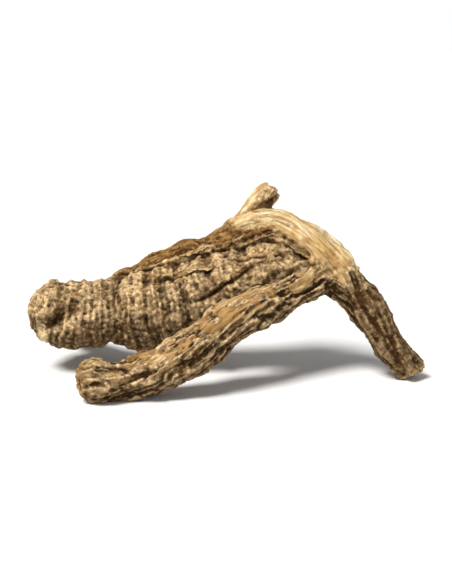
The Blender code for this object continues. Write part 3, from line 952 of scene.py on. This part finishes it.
def dry_root_material():
    """Dusty bark with bare places, painted highlights and painted shade, from the attributes of the skin.
    """
    material = new_material("dry_root")
    clues = read_clues(material)
    bark = layered(material, clues, BARK_MIDDLE, BARK_LAYERS)
    inner = layered(material, clues, INNER_BARK, INNER_LAYERS)
    wood = layered(material, clues, WOOD_GOLD, WOOD_LAYERS)
    colour = blend(material, clues["inner"], bark, inner)
    speckled = remap(material, clues["speckles"], 0.34, 0.66, SPECKLES_FROM, SPECKLES_TO)
    colour = blend(material, 1.0, colour, speckled, "MULTIPLY")
    colour = blend(material, clues["bare"], colour, wood)
    # Painted shade darkens the clefts between limbs.
    shaded = arithmetic(material, "MULTIPLY", clues["cleft_shade"], CLEFT_SHADE_STRENGTH)
    colour = blend(material, shaded, colour, BARK_DARK)

    streaked = arithmetic(material, "MULTIPLY", clues["streaks"], STREAK_HEIGHT)
    heights = arithmetic(material, "ADD", clues["grit"], streaked)
    inputs = {"Strength": BUMP_STRENGTH, "Distance": BUMP_HEIGHT, "Height": heights}
    bump = add_node(material, "ShaderNodeBump", inputs=inputs)
    smoother = arithmetic(material, "ADD", clues["speckles"], clues["bare"])
    roughness = remap(material, smoother, 0.2, 1.6, BARK_ROUGHNESS, WOOD_ROUGHNESS)
    shader = material.node_tree.nodes["Principled BSDF"]
    material.node_tree.links.new(colour, shader.inputs["Base Color"])
    material.node_tree.links.new(bump.outputs[0], shader.inputs["Normal"])
    material.node_tree.links.new(roughness, shader.inputs["Roughness"])
    shader.inputs["Specular IOR Level"].default_value = GLOSS
    return material


skin.data.materials.clear()
skin.data.materials.append(dry_root_material())
select_only(skin)
bpy.ops.object.shade_smooth()
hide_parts("osha_root")
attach(skin, "root")
print("the material has", len(skin.data.materials[0].node_tree.nodes), "nodes")

# %% [markdown]
# Where bark has cracked or peeled, its edge lifts as a thin, curled lip. Each lip is told by the line of
# its free edge on a limb, by where its other edge sinks into the bark, and by how far it lifts. Most of
# them lie along the cracks and at the edges of the bare places.

# %% Where the bark lifts
class Lip(NamedTuple):
    """The free edge of a lip from start to end, each (distance, degrees), and its shape."""

    limb: str
    start: tuple
    end: tuple
    # How many degrees round the limb the sunk edge lies from the free one.
    back: float
    lift: float
    # How much of the orange-brown and of the pale wood shows on it.
    inner_share: float
    pale_share: float = 0.4


LIPS = (
    Lip("rhizome", (34.0, 69.0), (46.0, 62.0), 9.0, 0.9, 0.8, 0.8),
    Lip("rhizome", (45.0, 61.0), (57.0, 50.0), 9.0, 1.1, 0.7, 1.0),
    Lip("rhizome", (37.0, 60.0), (52.0, 50.0), -6.0, 0.5, 0.6),
    Lip("rhizome", (64.0, 42.0), (75.0, 20.0), -9.0, 0.9, 0.5),
    Lip("rhizome", (50.0, 20.0), (64.0, 38.0), 7.0, 0.6, 0.3),
    Lip("rhizome", (56.0, -26.0), (68.0, -12.0), 7.0, 0.6, 0.3),
    Lip("arched", (18.0, 10.0), (33.0, 12.0), 18.0, 0.6, 0.7),
    Lip("arched", (45.0, -16.0), (56.0, -20.0), -14.0, 0.7, 0.2),
    Lip("arched", (53.0, -46.0), (66.0, -38.0), 30.0, 1.2, 0.9),
    Lip("arched", (68.0, -34.0), (75.0, 6.0), -14.0, 0.8, 0.2),
    Lip("arched", (70.0, 44.0), (77.0, 84.0), -12.0, 0.7, 0.2),
    Lip("arched", (30.0, 170.0), (48.0, 158.0), 16.0, 0.7, 0.4),
    Lip("front", (20.0, 62.0), (32.0, 56.0), -14.0, 0.6, 0.5),
    Lip("front", (38.0, 74.0), (49.0, 66.0), -12.0, 0.6, 0.6),
    Lip("front", (52.0, 20.0), (60.0, 10.0), -12.0, 0.5, 0.3),
    Lip("rhizome", (14.0, 152.0), (30.0, 163.0), 8.0, 0.8, 0.4),
    Lip("rhizome", (44.0, 200.0), (60.0, 186.0), 8.0, 0.8, 0.4),
)
print("bark lifts in", len(LIPS), "places")

# %% [markdown]
# A lip is made from a grid whose points are laid on the skin. One long edge is sunk into the bark, and the
# other stands free and ragged. A solidify modifier gives it the thickness of bark, and a subdivision rounds
# it. It shares the skin's material, so it stores the same attributes.

# %% Make the lips
LIP_STEPS = (48, 7)
LIP_THICKNESS = 0.22 * MM
LIP_SUNK = 0.25 * MM
LIP_RIPPLE = 0.22 * MM
# Powers that shape a lip: how bluntly it ends, and how late it curls up.
LIP_BLUNTNESS = 0.6
LIP_CURL = 1.6
LIP_MOTTLE_SIZE = (1.6 * MM, 0.7 * MM, 1.0 * MM)
# The streaks on a lip are laid out as on a limb of this radius, and each lip has its own.
LIP_GRAIN_RADIUS = 9.0 * MM
LIP_GRAIN_APART = 7.0 * MM


def skin_place(limb, s, degrees):
    """The skin's nearest point to a spot of a limb's round surface, and the way that it faces there."""
    spot = LIMBS[limb].point(s, degrees)
    _, place, normal, _ = skin.closest_point_on_mesh(spot)
    return place, normal


def make_lip(number, lip):
    """A thin, curled edge of bark on the skin."""
    bpy.ops.object.select_all(action="DESELECT")
    bpy.ops.mesh.primitive_grid_add(x_subdivisions=LIP_STEPS[0], y_subdivisions=LIP_STEPS[1], size=1)
    piece = bpy.context.object
    piece.name = f"bark_lip_{number}"
    free, grained = [], []
    for vertex in piece.data.vertices:
        along, across = vertex.co.x + 0.5, vertex.co.y + 0.5
        taper = math.sin(math.pi * min(max(along, 0.02), 0.98)) ** LIP_BLUNTNESS
        ragged = 1 + 0.9 * noise.noise(Vector((along * 13, number * 3.1, 0)))
        reach = across * taper * min(ragged, 1.3)
        s = (lip.start[0] + (lip.end[0] - lip.start[0]) * along) * MM
        degrees = lip.start[1] + (lip.end[1] - lip.start[1]) * along + lip.back * (1 - reach)
        place, normal = skin_place(lip.limb, s, degrees)
        out = lip.lift * MM * taper * reach**LIP_CURL - LIP_SUNK * (1 - reach)
        out += LIP_RIPPLE * noise.noise(Vector((along * 26, across * 4, number)))
        vertex.co = place + out * normal
        free.append(reach)
        grained.append((s, LIP_GRAIN_RADIUS * math.radians(degrees), number * LIP_GRAIN_APART))
    free, grained = np.array(free), np.array(grained)
    mottled = grainy(grained, LIP_MOTTLE_SIZE, 80)
    store(piece, "grain", grained)
    store(piece, "fold", np.clip(0.52 - 0.34 * free - 0.5 * mottled, 0, 1))
    store(piece, "bare", lip.pale_share * np.clip(free * 2.4 - 1.1 + mottled, 0, 1))
    store(piece, "inner", lip.inner_share * np.clip(free * 1.5, 0, 1))
    for name in ("cleft_shade", "hollow_shade", "golden", "painted_shade"):
        store(piece, name, np.zeros(len(free)))
    for name in ("swell_shading", "tone"):
        store(piece, name, np.full(len(free), 0.5))
    apply_modifier(piece, "SOLIDIFY", thickness=LIP_THICKNESS, offset=0)
    apply_modifier(piece, "SUBSURF", levels=1)
    piece.data.materials.append(skin.data.materials[0])
    bpy.ops.object.shade_smooth()
    return piece


bpy.context.view_layer.update()
lips = [make_lip(number, lip) for number, lip in enumerate(LIPS)]
select_only(*lips)
bpy.ops.object.join()
bark_lips = lips[0]
bark_lips.name = "bark_lips"
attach(bark_lips, "root")
print("the lips have", len(bark_lips.data.polygons), "faces")

# %% [markdown]
# The root lies on a wide pale floor. The world is white near the horizon, so the floor runs into it with no
# edge from any side, and dimmer above, so that the main light can shape the bark. That light is a soft sun
# from the upper left, which lights the floor evenly however far it runs. A weak one fills from the right.

# %% Floor, world and lights
FLOOR_SIZE = 60.0
floor_material = new_material("studio_floor")
floor_shader = floor_material.node_tree.nodes["Principled BSDF"]
floor_shader.inputs["Base Color"].default_value = (0.90, 0.90, 0.90, 1)
floor_shader.inputs["Roughness"].default_value = 0.9
floor_shader.inputs["Specular IOR Level"].default_value = 0.1
bpy.ops.mesh.primitive_plane_add(size=FLOOR_SIZE, location=(0, 0, 0))
floor = bpy.context.object
floor.name = "studio_floor"
floor.data.materials.append(floor_material)

# How strongly the world shines near the horizon and above, and between which heights it dims.
HORIZON_STRENGTH = 1.0
SKY_STRENGTH = 0.25
SKY_DIMS = (0.05, 0.16)
world = bpy.data.worlds.new("studio")
world.use_nodes = True
direction = add_node(world, "ShaderNodeTexCoord").outputs["Generated"]
height = add_node(world, "ShaderNodeSeparateXYZ", inputs={0: direction}).outputs["Z"]
strength = remap(world, height, *SKY_DIMS, HORIZON_STRENGTH, SKY_STRENGTH)
background = world.node_tree.nodes["Background"]
background.inputs["Color"].default_value = (1.0, 1.0, 1.0, 1)
world.node_tree.links.new(strength, background.inputs["Strength"])
bpy.context.scene.world = world


def soft_sun(name, towards, strength, softness, colour):
    """A sun that shines from a direction, with soft shadows of a size in degrees."""
    light = bpy.data.lights.new(name, "SUN")
    light.energy = strength
    light.angle = math.radians(softness)
    light.color = colour
    lamp = bpy.data.objects.new(name, light)
    lamp.rotation_euler = Vector(towards).to_track_quat("Z", "Y").to_euler()
    bpy.context.scene.collection.objects.link(lamp)


soft_sun("key", (-0.50, -0.42, 1.05), strength=3.7, softness=22, colour=(1.0, 0.98, 0.95))
soft_sun("fill", (0.9, -0.9, 0.5), strength=0.30, softness=60, colour=(0.97, 0.98, 1.0))
print("the lights are", [light.name for light in bpy.data.lights])

# %% [markdown]
# The camera stands nearly level, a little above the root, and takes in the whole of it with some room, as
# in the photograph.

# %% The camera
MIDDLE = Vector((0.0, 0.0, 0.022))
CAMERA_ELEVATION = math.radians(12)
CAMERA_LENS = 90.0
# The share of the picture's width that the root takes.
ROOT_SHARE = 0.88
camera_data = bpy.data.cameras.new("camera")
camera_data.lens = CAMERA_LENS
camera_data.sensor_fit = "HORIZONTAL"
camera_data.sensor_width = 36.0
camera_data.clip_start = 0.01
root_width = float(high[0] - low[0])
camera_distance = root_width / ROOT_SHARE * CAMERA_LENS / camera_data.sensor_width
camera = bpy.data.objects.new("camera", camera_data)
back = Vector((0, -math.cos(CAMERA_ELEVATION), math.sin(CAMERA_ELEVATION)))
camera.location = MIDDLE + camera_distance * back
camera.rotation_euler = (-back).to_track_quat("-Z", "Y").to_euler()
bpy.context.scene.collection.objects.link(camera)
bpy.context.scene.camera = camera
bpy.context.scene.view_settings.view_transform = "Standard"
print("the camera stands", round(camera_distance, 3), "m away")
